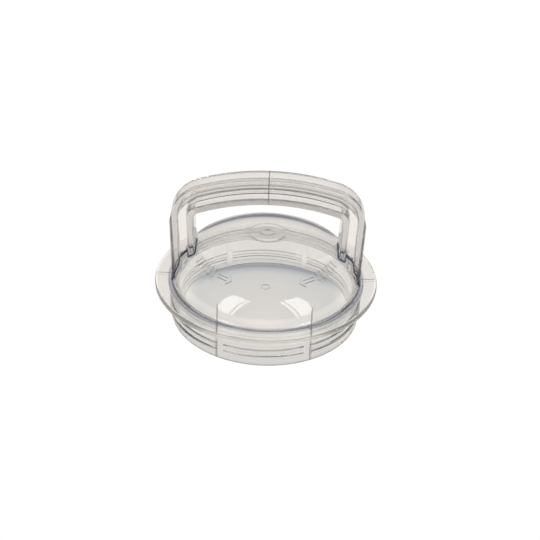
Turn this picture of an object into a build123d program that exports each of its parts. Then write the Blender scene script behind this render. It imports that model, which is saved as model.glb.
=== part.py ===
"""A clear screw-in lid for a round pot, with a fixed arch handle, in millimetres.

The lid is one moulding: a domed crown, a flat flange and a threaded skirt, hollow and
open underneath. An arch handle with an I section is bonded across the dome, and an
O-ring sits in a gland under the flange. The origin is the centre of the skirt's lower
edge, +Z is up, and the handle spans the lid along X.
"""

import os
from math import cos, radians, sin, tan

from build123d import *

# Flange and skirt
flange_radius = 85.0
flange_thickness = 4.4
flange_edge_fillet = 1.8
skirt_radius = 72.3
skirt_wall = 4.5
skirt_height = 27.6
skirt_edge_chamfer = 0.8

# Dome: a steep foot, a knuckle and a shallow spherical crown
dome_wall = 3.2
dome_height = 39.5
dome_foot_setback = 1.1
dome_foot_lean = 10.0
dome_root_fillet = 3.5
crown_radius = 107.7
knuckle_radius = 28.0

# Screw thread on the skirt
thread_pitch = 5.4
thread_turns = 2.0
thread_depth = 1.3
thread_root_width = 4.4
thread_start_height = 3.5
thread_sink = 0.4
thread_gap_outer = 34.0
thread_gap_width = 4.5

# O-ring, and its gland at the top of the skirt
ring_section = 3.6
gland_depth = 1.2
gland_height = 4.2
ring_clearance = 0.1

# Arch handle, its heights measured from the flange's top face
handle_height = 86.0
handle_half_span = 73.1
handle_shoulder_height = 62.0
handle_lean = 2.0
handle_depth = 22.0
handle_crown_radius = 171.0
handle_shoulder_radius = 30.0
section_height = 18.0
outer_plate = 5.2
inner_plate = 5.3
web_thickness = 3.6
grip_corner_radius = 3.5
plate_edge_fillet = 1.6
recess_fillet = 0.8
bond_film = 0.1

# Fine lines that the mould's inserts leave
witness_width = 0.6
witness_depth = 0.5
witness_rise = 10.0
seam_width = 0.6
seam_depth = 0.4
seam_pitch = 2.8

# Raised marks on the dome
relief_height = 0.5
disc_radius = 13.9
disc_rim_width = 0.9
centre_mark_radius = 5.5
gate_half_length = 3.0
gate_half_width = 1.6
mark_circle_radius = 53.6
tick_length = 5.5
tick_width = 1.7
tick_count = 6
tick_first_angle = 68.0
tick_step_angle = 4.6
arrow_tail_angle = 40.0
arrow_neck_angle = 31.0
arrow_shaft_width = 2.2
arrow_head_width = 7.0
arrow_head_length = 5.0

# Heights and radii that follow from the sizes above
flange_top = skirt_height + flange_thickness
dome_top = flange_top + dome_height
handle_top = flange_top + handle_height
bore_radius = skirt_radius - skirt_wall
gland_radius = skirt_radius - gland_depth
dome_foot_radius = skirt_radius - dome_foot_setback
front = -90


def foot_radius(grow, height):
    """Radius at a height of the dome's leaning foot, its surface moved outwards by grow."""
    lean = radians(dome_foot_lean)
    return dome_foot_radius + grow / cos(lean) - (height - flange_top) * tan(lean)


def dome_section(grow):
    """Half section of all that lies under the dome's surface, moved outwards by grow.
    It runs down through the flange, to the top of the skirt."""
    top = dome_top + grow
    radius = crown_radius + grow
    foot = foot_radius(grow, skirt_height)
    lean = radians(dome_foot_lean)
    with BuildSketch(Plane.XZ) as section:
        with BuildLine():
            sphere = CenterArc((0, top - radius), radius, 0, 90, mode=Mode.PRIVATE)
            wall = IntersectingLine((foot, skirt_height), (-sin(lean), cos(lean)), sphere)
            RadiusArc(wall @ 1, (0, top), -radius)
            Polyline((0, top), (0, skirt_height), (foot, skirt_height))
        make_face()
        shoulder = section.vertices().sort_by_distance(wall @ 1)[0]
        fillet(shoulder, knuckle_radius + grow)
    return section.sketch


def envelope_section(grow):
    """Half section of the lid's upper side, dome and flange, moved outwards by grow."""
    top = flange_top + grow
    rim = flange_radius + grow
    with BuildSketch(Plane.XZ) as section:
        with Locations((rim / 2, (skirt_height + top) / 2)):
            Rectangle(rim, top - skirt_height)
        fillet(section.vertices().group_by(Axis.X)[-1], flange_edge_fillet)
        add(dome_section(grow))
        root = section.vertices().sort_by_distance((foot_radius(grow, top), top))[0]
        fillet(root, dome_root_fillet - grow)
    return section.sketch


def skirt_section(grow):
    """Half section of the skirt, filled in to the axis, its wall moved outwards by grow."""
    with BuildSketch(Plane.XZ) as section:
        Rectangle(skirt_radius + grow, skirt_height, align=Align.MIN)
    return section.sketch


def turned(section):
    """The solid of a half section, turned about the lid's axis."""
    with BuildPart() as solid:
        with BuildSketch(Plane.XZ):
            add(section)
        revolve(axis=Axis.Z)
    return solid.part


def upright_slab(x, width, low, high):
    """A plate parallel to YZ that cuts the lid from front to back, between two heights."""
    with BuildPart() as plate:
        with Locations((x, 0, (low + high) / 2)):
            Box(width, 3 * flange_radius, high - low)
    return plate.part


envelope = turned(envelope_section(0))
bonded_envelope = turned(envelope_section(bond_film))

# Two turns of thread, broken by a flat on each side of the front and of the back
with BuildPart() as thread:
    with BuildLine():
        coil = Helix(
            thread_pitch,
            thread_pitch * thread_turns,
            skirt_radius,
            center=(0, 0, thread_start_height),
        )
    with BuildSketch(Plane(coil @ 0, x_dir=(1, 0, 0), z_dir=coil % 0)):
        with BuildLine():
            low = (-thread_sink, -thread_root_width / 2)
            high = (-thread_sink, thread_root_width / 2)
            ThreePointArc(low, (thread_depth, 0), high)
            Line(high, low)
        make_face()
    sweep(path=coil, is_frenet=True)
    for side in (-1, 1):
        flat = side * (thread_gap_outer - thread_gap_width / 2)
        add(upright_slab(flat, thread_gap_width, 0, flange_top), mode=Mode.SUBTRACT)

# Raised marks: prisms that stand on the dome, cut back to a thin skin over it
with BuildPart() as marks:
    with BuildSketch(Plane.XY.offset(flange_top)):
        Circle(disc_radius)
        Circle(disc_radius - disc_rim_width, mode=Mode.SUBTRACT)
        Circle(centre_mark_radius)
        Circle(centre_mark_radius / 2, mode=Mode.SUBTRACT)
        with Locations((0, -mark_circle_radius)):
            Ellipse(gate_half_length, gate_half_width)
        for side in (-1, 1):
            for tick in range(tick_count):
                angle = front + side * (tick_first_angle - tick * tick_step_angle)
                with PolarLocations(mark_circle_radius, 1, start_angle=angle):
                    Rectangle(tick_length, tick_width)
            tail = front + side * arrow_tail_angle
            neck = front + side * arrow_neck_angle
            shaft = CenterArc((0, 0), mark_circle_radius, tail, neck - tail)
            SlotArc(shaft, arrow_shaft_width)
            with PolarLocations(mark_circle_radius, 1, start_angle=neck):
                Triangle(
                    a=arrow_head_width,
                    b=arrow_head_length,
                    c=arrow_head_length,
                    align=(Align.CENTER, Align.MIN),
                    rotation=90 + side * 90,
                )
    extrude(amount=dome_height + relief_height)
    add(turned(dome_section(relief_height)), mode=Mode.INTERSECT)
    add(envelope, mode=Mode.SUBTRACT)

# Witness lines: shallow grooves in the outer surface, from low on the dome downwards, and
# across the flange on both sides, where the mould parts
with BuildPart() as witness:
    add(envelope)
    add(turned(skirt_section(0)))
    add(turned(envelope_section(-witness_depth)), mode=Mode.SUBTRACT)
    add(turned(skirt_section(-witness_depth)), mode=Mode.SUBTRACT)
    line_top = flange_top + witness_rise
    insert_edges = [
        upright_slab(side * thread_gap_outer, witness_width, 0, line_top) for side in (-1, 1)
    ]
    parting = upright_slab(0, witness_width, skirt_height, flange_top).rotate(Axis.Z, 90)
    add(insert_edges + [parting], mode=Mode.INTERSECT)

with BuildPart() as lid_shell:
    add(envelope)
    add(turned(skirt_section(0)))
    with BuildSketch(Plane.XY):
        Circle(bore_radius)
    extrude(amount=skirt_height, mode=Mode.SUBTRACT)
    chamfer(lid_shell.edges().group_by(Axis.Z)[0], skirt_edge_chamfer)
    add(turned(dome_section(-dome_wall)), mode=Mode.SUBTRACT)
    with BuildSketch(Plane.XY.offset(skirt_height)):
        Circle(skirt_radius)
        Circle(gland_radius, mode=Mode.SUBTRACT)
    extrude(amount=-gland_height, mode=Mode.SUBTRACT)
    add(thread.part)
    add(marks.part)
    add(witness.part, mode=Mode.SUBTRACT)
lid_shell.part.label = "lid_shell"

# O-ring, hanging in its gland just clear of the flange and the groove's wall
with BuildPart() as seal_ring:
    ring_radius = gland_radius + ring_clearance + ring_section / 2
    ring_height = skirt_height - ring_clearance - ring_section / 2
    with BuildSketch(Plane.XZ):
        with Locations((ring_radius, ring_height)):
            Circle(ring_section / 2)
    revolve(axis=Axis.Z)
seal_ring.part.label = "seal_ring"


def arch_section(inset, corner_radius):
    """The area under the arch's outer face, that face moved inwards by inset."""
    radius = handle_crown_radius - inset
    lean = tan(radians(handle_lean))
    foot = handle_half_span - inset - lean * handle_shoulder_height
    with BuildSketch(Plane.XZ) as section:
        with BuildLine():
            centre = (0, handle_top - handle_crown_radius)
            crown = CenterArc(centre, radius, 0, 180, mode=Mode.PRIVATE)
            right = IntersectingLine((foot, flange_top), (lean, 1), crown)
            left = IntersectingLine((-foot, flange_top), (-lean, 1), crown)
            RadiusArc(right @ 1, left @ 1, -radius)
            Line((-foot, flange_top), (foot, flange_top))
        make_face()
        fillet(section.vertices().group_by(Axis.Y)[-1], corner_radius)
    return section.sketch


def arch_body(inset):
    """The arch, two curved plates joined by a web, its faces all moved inwards by inset."""
    grip = section_height - inset
    pocket_top = outer_plate - inset
    pocket_floor = section_height - inner_plate + inset
    grip_radius = grip_corner_radius + inset
    with BuildPart() as body:
        with BuildSketch(Plane.XZ):
            add(arch_section(inset, handle_shoulder_radius - inset))
            add(arch_section(grip, grip_radius), mode=Mode.SUBTRACT)
        extrude(amount=handle_depth / 2 - inset, both=True)
        for side in (-1, 1):
            with BuildSketch(Plane.XZ.offset(side * (web_thickness / 2 - inset))):
                add(arch_section(pocket_top, handle_shoulder_radius - pocket_top))
                add(
                    arch_section(pocket_floor, grip_corner_radius + section_height - pocket_floor),
                    mode=Mode.SUBTRACT,
                )
            extrude(amount=side * handle_depth, mode=Mode.SUBTRACT)
    return body.part


# Seams: two grooves across the arch's middle, the second over the outer plate alone
with BuildPart() as seams:
    add(arch_body(0))
    add(arch_body(seam_depth), mode=Mode.SUBTRACT)
    seam_slabs = [
        upright_slab(0, seam_width, flange_top, handle_top),
        upright_slab(seam_pitch, seam_width, handle_top - outer_plate, handle_top),
    ]
    add(seam_slabs, mode=Mode.INTERSECT)

# The finished handle has rounded rims and pockets, and its feet are cut to the dome
with BuildPart() as handle:
    add(arch_body(0))
    half_web = web_thickness / 2
    reach = recess_fillet / 2
    for side in (-1, 1):
        near, far = sorted((side * (half_web - reach), side * (half_web + reach)))
        fillet(handle.edges().filter_by_position(Axis.Y, near, far), recess_fillet)
    rims = handle.faces().sort_by(Axis.Y)
    fillet(rims[0].edges() + rims[-1].edges(), plate_edge_fillet)
    add(bonded_envelope, mode=Mode.SUBTRACT)
    add(seams.part, mode=Mode.SUBTRACT)
handle.part.label = "handle"

os.makedirs("parts", exist_ok=True)
export_step(lid_shell.part, "parts/lid_shell.step")
export_step(handle.part, "parts/handle.step")
export_step(seal_ring.part, "parts/seal_ring.step")
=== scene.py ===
from math import cos, radians, sin

import bpy
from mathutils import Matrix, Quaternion, Vector


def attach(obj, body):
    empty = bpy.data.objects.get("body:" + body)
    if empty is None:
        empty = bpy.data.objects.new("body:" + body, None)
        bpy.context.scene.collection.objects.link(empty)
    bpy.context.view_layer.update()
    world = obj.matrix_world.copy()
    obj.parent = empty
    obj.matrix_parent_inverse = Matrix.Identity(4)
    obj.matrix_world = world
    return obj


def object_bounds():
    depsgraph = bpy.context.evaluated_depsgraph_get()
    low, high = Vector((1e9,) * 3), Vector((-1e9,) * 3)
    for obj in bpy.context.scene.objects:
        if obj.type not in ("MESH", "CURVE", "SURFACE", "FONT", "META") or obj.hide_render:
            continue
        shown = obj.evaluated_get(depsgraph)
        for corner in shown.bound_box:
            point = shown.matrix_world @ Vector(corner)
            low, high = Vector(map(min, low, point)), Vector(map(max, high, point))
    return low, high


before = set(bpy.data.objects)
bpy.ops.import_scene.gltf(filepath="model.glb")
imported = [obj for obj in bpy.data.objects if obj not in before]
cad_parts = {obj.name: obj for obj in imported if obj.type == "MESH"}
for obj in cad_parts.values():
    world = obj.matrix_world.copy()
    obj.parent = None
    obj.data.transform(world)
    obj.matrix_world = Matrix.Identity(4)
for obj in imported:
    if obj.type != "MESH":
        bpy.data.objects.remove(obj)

cad_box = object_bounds()

# ---- Lid shell --------------------------------------------------------------------------
# One clear polycarbonate moulding: domed crown, flat flange and threaded skirt. It is
# injection moulded and polished, so its marks are faint flow ripples, hairline scratches,
# and fine shaded lines where the mould's inserts met. The CAD mesh is kept.


def feed(links, value, socket):
    """Sets a socket to a plain value, or links it to the socket that the value comes from."""
    if isinstance(value, bpy.types.NodeSocket):
        links.new(value, socket)
    else:
        socket.default_value = value


def combine(nodes, links, operation, *values):
    """One maths node on its values."""
    node = nodes.new("ShaderNodeMath")
    node.operation = operation
    for socket, value in zip(node.inputs, values):
        feed(links, value, socket)
    return node.outputs["Value"]


def combine_vectors(nodes, links, operation, *values):
    """One vector maths node on its values. A length or a distance comes out as a number."""
    node = nodes.new("ShaderNodeVectorMath")
    node.operation = operation
    for socket, value in zip(node.inputs, values):
        feed(links, value, socket)
    return node.outputs["Value" if operation in ("LENGTH", "DISTANCE") else "Vector"]


def dim_colour(nodes, links, colour, factor):
    """A colour dimmed by a factor that changes over the surface."""
    node = nodes.new("ShaderNodeVectorMath")
    node.operation = "SCALE"
    feed(links, colour, node.inputs[0])
    links.new(factor, node.inputs["Scale"])
    return node.outputs["Vector"]


def fade(nodes, links, value, start, end, low=0.0, high=1.0, smooth=False):
    """Goes from low to high while value goes from start to end, and stays level outside."""
    node = nodes.new("ShaderNodeMapRange")
    if smooth:
        node.interpolation_type = "SMOOTHSTEP"
    node.inputs["From Min"].default_value = start
    node.inputs["From Max"].default_value = end
    node.inputs["To Min"].default_value = low
    node.inputs["To Max"].default_value = high
    links.new(value, node.inputs["Value"])
    return node.outputs["Result"]


def band(nodes, links, value, middle, half_width, dark):
    """Factor that is dark where value is within half_width of middle, and 1 elsewhere."""
    soft_edge = 0.3
    offset = combine(nodes, links, "SUBTRACT", value, middle)
    away = combine(nodes, links, "ABSOLUTE", offset)
    return fade(nodes, links, away, (1 - soft_edge) * half_width, half_width, low=dark)


def mix_colours(nodes, links, factor, first, second):
    """Goes from the first colour to the second while the factor goes from 0 to 1."""
    node = nodes.new("ShaderNodeMix")
    node.data_type = "RGBA"
    links.new(factor, node.inputs["Factor"])
    feed(links, first, node.inputs["A"])
    feed(links, second, node.inputs["B"])
    return node.outputs["Result"]


def noise(nodes, links, place, scale, detail):
    """Soft random pattern round 0.5."""
    node = nodes.new("ShaderNodeTexNoise")
    node.inputs["Detail"].default_value = detail
    links.new(place, node.inputs["Vector"])
    feed(links, scale, node.inputs["Scale"])
    return node.outputs["Fac"]


def axes(nodes, links, place):
    """The x, y and z of a place, each as a value."""
    node = nodes.new("ShaderNodeSeparateXYZ")
    links.new(place, node.inputs["Vector"])
    return node.outputs["X"], node.outputs["Y"], node.outputs["Z"]


def moulded_surface():
    """Shader node group: the ripples, clouding and hairlines of a polished moulding."""
    drawn_out = (1.0, 0.06, 0.25)
    group = bpy.data.node_groups.new("moulded_surface", "ShaderNodeTree")
    group.interface.new_socket("Place", in_out="INPUT", socket_type="NodeSocketVector")
    for socket in ("Ripple Scale", "Hairline Scale", "Base Roughness"):
        group.interface.new_socket(socket, in_out="INPUT", socket_type="NodeSocketFloat")
    for socket in ("Clouding", "Roughness", "Height"):
        group.interface.new_socket(socket, in_out="OUTPUT", socket_type="NodeSocketFloat")
    nodes, links = group.nodes, group.links
    given = nodes.new("NodeGroupInput")
    result = nodes.new("NodeGroupOutput")
    place = given.outputs["Place"]

    ripple = noise(nodes, links, place, given.outputs["Ripple Scale"], detail=1.5)
    clouding = fade(nodes, links, ripple, start=0.3, end=0.7, low=0.98)
    stretched = combine_vectors(nodes, links, "MULTIPLY", place, drawn_out)
    hairline = noise(nodes, links, stretched, given.outputs["Hairline Scale"], detail=3.0)
    worn = fade(nodes, links, hairline, start=0.60, end=0.80, high=0.03)
    roughness = combine(nodes, links, "ADD", worn, given.outputs["Base Roughness"])
    links.new(clouding, result.inputs["Clouding"])
    links.new(roughness, result.inputs["Roughness"])
    links.new(ripple, result.inputs["Height"])
    return group


mould_finish = moulded_surface()


def polish(nodes, links, place, ripple_scale, hairline_scale, roughness, strength, ripple):
    """Gives a material the ripples and hairlines of a moulding, strength being that of the
    bump and ripple its depth. Returns the group, whose clouding some materials use too."""
    shader = nodes["Principled BSDF"]
    finish = nodes.new("ShaderNodeGroup")
    finish.node_tree = mould_finish
    finish.inputs["Ripple Scale"].default_value = ripple_scale
    finish.inputs["Hairline Scale"].default_value = hairline_scale
    finish.inputs["Base Roughness"].default_value = roughness
    links.new(place, finish.inputs["Place"])
    links.new(finish.outputs["Roughness"], shader.inputs["Roughness"])
    bump = nodes.new("ShaderNodeBump")
    bump.inputs["Strength"].default_value = strength
    bump.inputs["Distance"].default_value = ripple
    links.new(finish.outputs["Height"], bump.inputs["Height"])
    links.new(bump.outputs["Normal"], shader.inputs["Normal"])
    return finish


def clear_moulding(name, tint, roughness, ripple, density, shading):
    """Clear moulded plastic. It dims with depth, gets a painted shade along its outline where
    a thick clear edge looks dark, and lets the lamps' light through. shading gives the piece's
    own marks and painted shade, how dark its painted outline shade is from place to place,
    and where its edge gets a painted glow, or None where it doesn't glow."""
    plastic_ior = 1.58
    painted_outline_shade = (0.10, 0.11, 0.15, 1)
    painted_glow_cream = (0.96, 0.92, 0.80)
    material = bpy.data.materials.new(name)
    material.use_nodes = True
    nodes, links = material.node_tree.nodes, material.node_tree.links
    shader = nodes["Principled BSDF"]
    shader.inputs["IOR"].default_value = plastic_ior
    shader.inputs["Transmission Weight"].default_value = 0.95
    place = nodes.new("ShaderNodeTexCoord").outputs["Object"]
    finish = polish(
        nodes, links, place, ripple_scale=30.0, hairline_scale=900.0,
        roughness=roughness, strength=0.08, ripple=ripple,
    )

    marks, rim, glow = shading(nodes, links, place)
    # Painted shade: seen edge-on, the colour turns dark navy, standing in for the dark that a
    # thick clear edge bends into view.
    outline = nodes.new("ShaderNodeLayerWeight")
    outline.inputs["Blend"].default_value = 0.5
    grazing = fade(nodes, links, outline.outputs["Facing"], start=0.74, end=0.90)
    outlined = combine(nodes, links, "MULTIPLY", grazing, rim)
    edge = mix_colours(nodes, links, outlined, (*tint, 1), painted_outline_shade)
    marked = combine_vectors(nodes, links, "MULTIPLY", edge, marks)
    colour = dim_colour(nodes, links, marked, finish.outputs["Clouding"])
    links.new(colour, shader.inputs["Base Color"])
    # Painted light: where shading asks for it, the plastic glows cream, though no lamp is
    # there.
    if glow is not None:
        painted_glow_colour = dim_colour(nodes, links, painted_glow_cream, glow)
        links.new(painted_glow_colour, shader.inputs["Emission Color"])
        shader.inputs["Emission Strength"].default_value = 1.0

    path = nodes.new("ShaderNodeLightPath")
    lit_through = nodes.new("ShaderNodeBsdfTransparent")
    lit_through.inputs["Color"].default_value = (0.93, 0.93, 0.93, 1)
    mix = nodes.new("ShaderNodeMixShader")
    links.new(path.outputs["Is Shadow Ray"], mix.inputs[0])
    links.new(shader.outputs["BSDF"], mix.inputs[1])
    links.new(lit_through.outputs["BSDF"], mix.inputs[2])
    links.new(mix.outputs["Shader"], nodes["Material Output"].inputs["Surface"])
    depth = nodes.new("ShaderNodeVolumeAbsorption")
    depth.inputs["Color"].default_value = (0.0, 0.0, 0.0, 1)
    depth.inputs["Density"].default_value = density
    links.new(depth.outputs["Volume"], nodes["Material Output"].inputs["Volume"])
    return material


def finish_node(name, material):
    """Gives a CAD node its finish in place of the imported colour."""
    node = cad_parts[name]
    node.data.materials.clear()
    node.data.materials.append(material)
    return node


def lid_lines(nodes, links, place, radius):
    """Factor for the lid's shaded lines: the witness lines on the front, the parting line
    across the flange at each side, the skirt's foot and the flanks of the thread."""
    witness_x = 0.034
    witness_top = 0.0425
    parting_inner_end = 0.0735
    foot_height = 0.0004
    thread_root_radius = 0.0728
    thread_top = 0.018
    x, y, z = axes(nodes, links, place)
    either_side = combine(nodes, links, "ABSOLUTE", x)
    line = band(nodes, links, either_side, witness_x, half_width=0.00045, dark=0.42)
    above = combine(nodes, links, "GREATER_THAN", z, witness_top)
    at_back = combine(nodes, links, "GREATER_THAN", y, 0.0)
    elsewhere = combine(nodes, links, "MAXIMUM", above, at_back)
    witness = combine(nodes, links, "MAXIMUM", line, elsewhere)
    parting_line = band(nodes, links, y, 0.0, half_width=0.0004, dark=0.5)
    inboard = combine(nodes, links, "LESS_THAN", either_side, parting_inner_end)
    parting = combine(nodes, links, "MAXIMUM", parting_line, inboard)
    foot = band(nodes, links, z, foot_height, half_width=0.0024, dark=0.92)
    flank = band(nodes, links, radius, thread_root_radius, half_width=0.0005, dark=0.72)
    off_thread = combine(nodes, links, "GREATER_THAN", z, thread_top)
    flanks = combine(nodes, links, "MAXIMUM", flank, off_thread)
    lines = combine(nodes, links, "MULTIPLY", witness, parting)
    lined_foot = combine(nodes, links, "MULTIPLY", lines, foot)
    return combine(nodes, links, "MULTIPLY", lined_foot, flanks)


def lid_shading(nodes, links, place):
    """The lid's own look: its shaded lines, a painted bluish shade round the root of the dome
    where it meets the flange, a painted outline shade that is darkest on the crown, and a
    painted glow along the rim and the front."""
    flange_radius = cad_box[1][0]
    flange_bottom = 0.0276
    flange_top = 0.032
    face_allowance = 0.0005
    edge_allowance = 0.0001
    dome_root_radius = 0.0733
    painted_root_shade = (0.55, 0.58, 0.70, 1)
    crown_start, crown_end = 0.045, 0.056
    rim_start, rim_end = flange_radius - 0.0025, flange_radius - 0.0010
    front_start, front_end = -0.0650, -0.0740
    _, y, z = axes(nodes, links, place)
    level = combine_vectors(nodes, links, "MULTIPLY", place, (1.0, 1.0, 0.0))
    radius = combine_vectors(nodes, links, "LENGTH", level)
    dark = lid_lines(nodes, links, place, radius)
    # Painted shade: a bluish band on the flange round the root of the dome, where bent light
    # looks dark.
    root_band = band(nodes, links, radius, dome_root_radius, half_width=0.0022, dark=0.0)
    below = combine(nodes, links, "LESS_THAN", z, flange_top - face_allowance)
    off_root = combine(nodes, links, "MAXIMUM", root_band, below)
    root = mix_colours(nodes, links, off_root, painted_root_shade, (1, 1, 1, 1))
    marks = dim_colour(nodes, links, root, dark)

    # Painted outline shade: full on the crown, a fifth as strong lower down.
    crown = fade(nodes, links, z, crown_start, crown_end, low=0.20)
    # Painted light: the flange's rim and its front glow, as if they caught the low front
    # strip.
    painted_rim_glow = fade(nodes, links, radius, rim_start, rim_end, high=0.15)
    painted_front_glow = fade(nodes, links, y, front_start, front_end, high=0.08)
    in_flange = combine(nodes, links, "GREATER_THAN", z, flange_bottom - edge_allowance)
    painted_flange_glow = combine(nodes, links, "MULTIPLY", painted_front_glow, in_flange)
    glow = combine(nodes, links, "ADD", painted_rim_glow, painted_flange_glow)
    return marks, crown, glow


clear_lid = clear_moulding(
    "clear_polycarbonate_lid", tint=(0.995, 0.988, 0.978), roughness=0.025,
    ripple=0.0004, density=18.0, shading=lid_shading,
)
lid_shell = finish_node("lid_shell", clear_lid)

# ---- Handle -----------------------------------------------------------------------------
# A second clear moulding: an arch of two curved plates joined by a web, so that it looks
# like an I in section. Its feet are cut to the dome and bonded there. The CAD mesh is kept.


def handle_shading(nodes, links, place):
    """The handle's own marks: the dark seam across its middle, and a painted navy shade on the
    foot of its inner plate, low over the crown. Its painted outline shade is faint."""
    crown_top = 0.0715
    crown_radius = 0.1077
    crown_centre = (0.0, 0.0, crown_top - crown_radius)
    inner_plate_x = 0.0612
    foot_shade_height = 0.0045
    painted_foot_shade = (0.36, 0.38, 0.52, 1)
    outline_shade_strength = 0.15
    x, _, _ = axes(nodes, links, place)
    seam = band(nodes, links, x, 0.0, half_width=0.0004, dark=0.35)
    # Painted shade: the inner plate's foot turns navy close over the dome, where bent light
    # looks dark.
    from_crown = combine_vectors(nodes, links, "DISTANCE", place, crown_centre)
    rise = fade(nodes, links, from_crown, crown_radius, crown_radius + foot_shade_height)
    either_side = combine(nodes, links, "ABSOLUTE", x)
    outboard = combine(nodes, links, "GREATER_THAN", either_side, inner_plate_x)
    off_foot = combine(nodes, links, "MAXIMUM", rise, outboard)
    foot = mix_colours(nodes, links, off_foot, painted_foot_shade, (1, 1, 1, 1))
    return dim_colour(nodes, links, foot, seam), outline_shade_strength, None


clear_arch = clear_moulding(
    "clear_polycarbonate_handle", tint=(0.995, 0.982, 0.967), roughness=0.04,
    ripple=0.0001, density=18.0, shading=handle_shading,
)
handle = finish_node("handle", clear_arch)

# ---- Painted shade bead -----------------------------------------------------------------
# A thin glossy blue-black bead that stands on the dome all along each foot's outline. It is
# painted shade: a dark line put where the clear feet look dark from the light bent there.
bead_radius = 0.0008
bond_reach = 0.00018
corner_spacing = 0.00025
same_corner = 0.00001


def set_ramp(ramp, stops):
    """Gives a colour ramp its stops, each a position and a colour."""
    elements = ramp.color_ramp.elements
    while len(elements) < len(stops):
        elements.new(0.5)
    for element, (position, colour) in zip(elements, stops):
        element.position = position
        element.color = (*colour, 1)


bpy.ops.object.select_all(action="DESELECT")
handle.select_set(True)
bpy.context.view_layer.objects.active = handle
bpy.ops.object.duplicate()
bead = bpy.context.active_object
bead.name = "painted_shade_bead"
bead.data = bead.data.copy()
bpy.ops.object.mode_set(mode="EDIT")
bpy.ops.mesh.select_mode(type="FACE")
bpy.ops.mesh.select_all(action="SELECT")
bpy.ops.mesh.remove_doubles(threshold=same_corner)
bpy.ops.mesh.select_all(action="DESELECT")
bpy.ops.object.mode_set(mode="OBJECT")
on_dome = []
for vertex in bead.data.vertices:
    found, nearest, *_ = lid_shell.closest_point_on_mesh(vertex.co)
    on_dome.append(found and (nearest - vertex.co).length < bond_reach)
for face in bead.data.polygons:
    face.select = not all(on_dome[corner] for corner in face.vertices)
bpy.ops.object.mode_set(mode="EDIT")
bpy.ops.mesh.delete(type="FACE")
bpy.ops.mesh.select_all(action="SELECT")
bpy.ops.mesh.region_to_loop()
bpy.ops.mesh.duplicate()
bpy.ops.mesh.select_all(action="INVERT")
bpy.ops.mesh.delete(type="VERT")
bpy.ops.mesh.select_all(action="SELECT")
bpy.ops.mesh.remove_doubles(threshold=corner_spacing)
bpy.ops.object.mode_set(mode="OBJECT")
bpy.ops.object.convert(target="CURVE")
bead = bpy.context.active_object
bead.data.bevel_depth = bead_radius
bead.data.bevel_resolution = 3
bpy.ops.object.convert(target="MESH")
bead = bpy.context.active_object
bpy.ops.object.shade_smooth()
bead.data.materials.clear()
# The bead is a piece of its own, so it gives up the marks that came with the handle's copy.
for inherited in list(bead.keys()):
    del bead[inherited]

# Painted shade: the bead is blue-black, with blotches of random tone.
shade_bead_finish = bpy.data.materials.new("painted_shade_blue_black")
shade_bead_finish.use_nodes = True
nodes, links = shade_bead_finish.node_tree.nodes, shade_bead_finish.node_tree.links
place = nodes.new("ShaderNodeTexCoord").outputs["Object"]
blotches = noise(nodes, links, place, 160.0, detail=2.0)
tone = nodes.new("ShaderNodeValToRGB")
set_ramp(tone, [
    (0.35, (0.012, 0.018, 0.045)),
    (0.55, (0.045, 0.055, 0.095)),
    (0.70, (0.190, 0.190, 0.210)),
])
links.new(blotches, tone.inputs["Fac"])
links.new(tone.outputs["Color"], nodes["Principled BSDF"].inputs["Base Color"])
polish(
    nodes, links, place, ripple_scale=500.0, hairline_scale=1500.0,
    roughness=0.18, strength=0.5, ripple=0.0003,
)
bead.data.materials.append(shade_bead_finish)
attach(bead, "root")

# ---- Seal ring --------------------------------------------------------------------------
# A moulded O-ring of translucent silicone rubber. It hangs in the gland at the top of the
# skirt, held by its own stretch. Its skin is satin, with a mould line round its waist.


def ring_shading(nodes, links, place):
    """The ring's own mark: the mould line round its waist. Its painted outline shade is faint.
    """
    waist_height = 0.0257
    outline_shade_strength = 0.2
    _, _, z = axes(nodes, links, place)
    mould_line = band(nodes, links, z, waist_height, half_width=0.00012, dark=0.85)
    return mould_line, outline_shade_strength, None


silicone = clear_moulding(
    "translucent_silicone", tint=(0.97, 0.975, 0.97), roughness=0.14,
    ripple=0.0002, density=10.0, shading=ring_shading,
)
finish_node("seal_ring", silicone)

# ---- Floor ------------------------------------------------------------------------------
# A sheet of pale paper, white in the open. What the clear plastic gathers in from it is a
# warm pale grey, with the lid's own soft shade where the skirt stands. Well behind the lid
# the gathered paper falls away into the dark, and the dome shows that as a line.
paper_size = 8
paper_top = -0.0005
open_brightness = 1.02
shade_reach = 0.12
shade_centre = (0.0, -0.02, 0.0)
# Each stop is a distance from the shade's centre and the paper's tone there.
shade_stops = [
    (0.000, (0.765, 0.725, 0.690)),
    (0.040, (0.765, 0.738, 0.705)),
    (0.060, (0.745, 0.735, 0.710)),
    (0.074, (0.690, 0.695, 0.680)),
    (0.081, (0.530, 0.550, 0.560)),
    (0.0855, (0.310, 0.335, 0.360)),
    (0.0895, (0.400, 0.420, 0.440)),
    (0.095, (0.860, 0.840, 0.810)),
    (0.105, (1.000, 0.965, 0.925)),
]
beside_start, beside_end = 0.052, 0.072
beside_tone = (0.93, 0.895, 0.855, 1)
dusk_start, dusk_end = 0.24, 0.34
dusk_side_start, dusk_side_end = 0.32, 0.20
dusk_tone = (0.27, 0.285, 0.32, 1)

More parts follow.
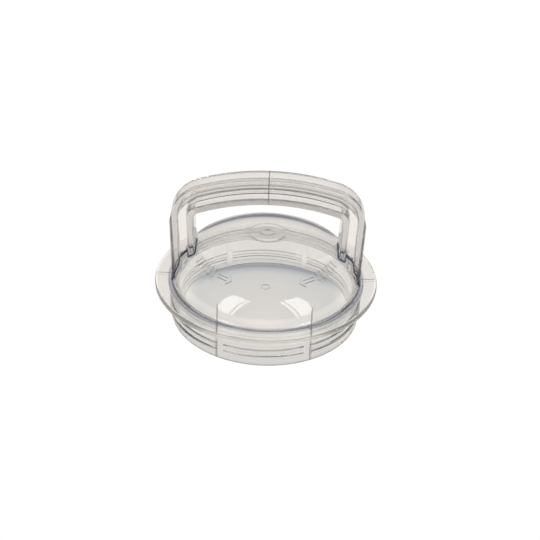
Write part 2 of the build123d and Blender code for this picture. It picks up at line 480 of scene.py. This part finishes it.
bpy.ops.object.select_all(action="DESELECT")
bpy.ops.mesh.primitive_plane_add(size=paper_size, location=(0, 0, paper_top))
floor = bpy.context.active_object
floor.name = "paper_floor"
paper = bpy.data.materials.new("pale_paper")
paper.use_nodes = True
nodes, links = paper.node_tree.nodes, paper.node_tree.links
nodes.remove(nodes["Principled BSDF"])
place = nodes.new("ShaderNodeTexCoord").outputs["Object"]
radius = combine_vectors(nodes, links, "DISTANCE", place, shade_centre)
shade = nodes.new("ShaderNodeValToRGB")
set_ramp(shade, [(distance / shade_reach, colour) for distance, colour in shade_stops])
links.new(combine(nodes, links, "DIVIDE", radius, shade_reach), shade.inputs["Fac"])
x, y, _ = axes(nodes, links, place)
sideways = combine(nodes, links, "ABSOLUTE", x)
beside = fade(nodes, links, sideways, beside_start, beside_end, smooth=True)
spread = mix_colours(nodes, links, beside, shade.outputs["Color"], beside_tone)
far = fade(nodes, links, y, dusk_start, dusk_end, smooth=True)
central = fade(nodes, links, sideways, dusk_side_start, dusk_side_end, smooth=True)
dusk = combine(nodes, links, "MULTIPLY", far, central)
gathered = nodes.new("ShaderNodeEmission")
links.new(mix_colours(nodes, links, dusk, spread, dusk_tone), gathered.inputs["Color"])
open_paper = nodes.new("ShaderNodeEmission")
open_paper.inputs["Strength"].default_value = open_brightness
open_paper.inputs["Color"].default_value = (1, 1, 1, 1)
ray = nodes.new("ShaderNodeLightPath")
mix = nodes.new("ShaderNodeMixShader")
links.new(ray.outputs["Is Camera Ray"], mix.inputs[0])
links.new(gathered.outputs["Emission"], mix.inputs[1])
links.new(open_paper.outputs["Emission"], mix.inputs[2])
links.new(mix.outputs["Shader"], nodes["Material Output"].inputs["Surface"])
floor.data.materials.append(paper)

# ---- Room -------------------------------------------------------------------------------
# The paper sweeps up behind the lid, the ceiling is dim and bluish, and the room behind
# the camera is dark, so that the clear edges have something dark to bend into view.
back_stops = [
    (0.00, (0.74, 0.71, 0.67)),
    (0.50, (0.69, 0.67, 0.64)),
    (0.68, (0.33, 0.35, 0.39)),
    (1.00, (0.25, 0.26, 0.29)),
]
front_stops = [
    (0.00, (0.11, 0.12, 0.15)),
    (0.30, (0.14, 0.15, 0.18)),
    (0.50, (0.25, 0.25, 0.26)),
    (1.00, (0.25, 0.26, 0.29)),
]
front_end, back_start = -0.15, 0.35

room = bpy.data.worlds.new("studio_room")
bpy.context.scene.world = room
room.use_nodes = True
nodes, links = room.node_tree.nodes, room.node_tree.links
towards = nodes.new("ShaderNodeTexCoord").outputs["Generated"]
_, y, z = axes(nodes, links, towards)
front, back = nodes.new("ShaderNodeValToRGB"), nodes.new("ShaderNodeValToRGB")
for wall, stops in ((front, front_stops), (back, back_stops)):
    set_ramp(wall, stops)
    links.new(z, wall.inputs["Fac"])
behind = fade(nodes, links, y, front_end, back_start, smooth=True)
walls = mix_colours(nodes, links, behind, front.outputs["Color"], back.outputs["Color"])
links.new(walls, nodes["Background"].inputs["Color"])

# ---- Lamps ------------------------------------------------------------------------------
# A tall softbox on each side, turned a little, each with a slim one along its inner edge,
# and one long low strip in front. Their reflections are the bright marks on the dome.
aim = Vector((0.00285, 0.0, 0.0374))
lamp_reach = 1.2


def direction_from(azimuth, elevation):
    """Unit vector from the lid towards a place in the studio. Azimuth 0 is the front."""
    round_lid, up = radians(azimuth), radians(elevation)
    return Vector((sin(round_lid) * cos(up), -cos(round_lid) * cos(up), sin(up)))


def softbox(name, azimuth, elevation, turn, slide, size, power):
    """A rectangular studio lamp that faces the lid, turned about its own axis, then moved
    sideways in its own plane."""
    data = bpy.data.lights.new(name, "AREA")
    data.shape = "RECTANGLE"
    data.size, data.size_y = size
    data.energy = power
    lamp = bpy.data.objects.new(name, data)
    bpy.context.scene.collection.objects.link(lamp)
    direction = direction_from(azimuth, elevation)
    facing = direction.to_track_quat("Z", "Y") @ Quaternion((0, 0, 1), radians(turn))
    lamp.location = aim + lamp_reach * direction + facing @ Vector((slide, 0, 0))
    lamp.rotation_mode = "QUATERNION"
    lamp.rotation_quaternion = facing


side_azimuth = 43
side_elevation = 27
side_turn = 6
for side, name in ((-1, "left"), (1, "right")):
    azimuth, turn = side * side_azimuth, side * side_turn
    softbox(
        f"{name}_softbox", azimuth, side_elevation, turn,
        slide=side * 0.06, size=(0.36, 1.24), power=4.1,
    )
    softbox(
        f"{name}_slim_box", azimuth, side_elevation, turn,
        slide=-side * 0.20, size=(0.08, 1.20), power=0.75,
    )
softbox("front_strip", azimuth=0, elevation=22, turn=0, slide=0, size=(1.90, 0.05), power=0.10)

# ---- Camera -----------------------------------------------------------------------------
# It stands in front of the lid on a long lens and looks down at it, past the flange to the
# floor. Its frame leans by two degrees, as a camera held by hand does.
camera_distance = 0.935
camera_elevation = 32.9
camera_roll = 2.0
lens_length = 81.5
sensor_width = 36
camera_data = bpy.data.cameras.new("studio_camera")
camera_data.lens = lens_length
camera_data.sensor_width = sensor_width
camera = bpy.data.objects.new("studio_camera", camera_data)
bpy.context.scene.collection.objects.link(camera)
bpy.context.scene.camera = camera
towards_camera = direction_from(0, camera_elevation)
camera.location = aim + camera_distance * towards_camera
camera.rotation_mode = "QUATERNION"
upright = (-towards_camera).to_track_quat("-Z", "Y")
camera.rotation_quaternion = upright @ Quaternion((0, 0, 1), radians(camera_roll))
bpy.context.scene.view_settings.view_transform = "Standard"

# ---- Scene update -----------------------------------------------------------------------
bpy.context.view_layer.update()
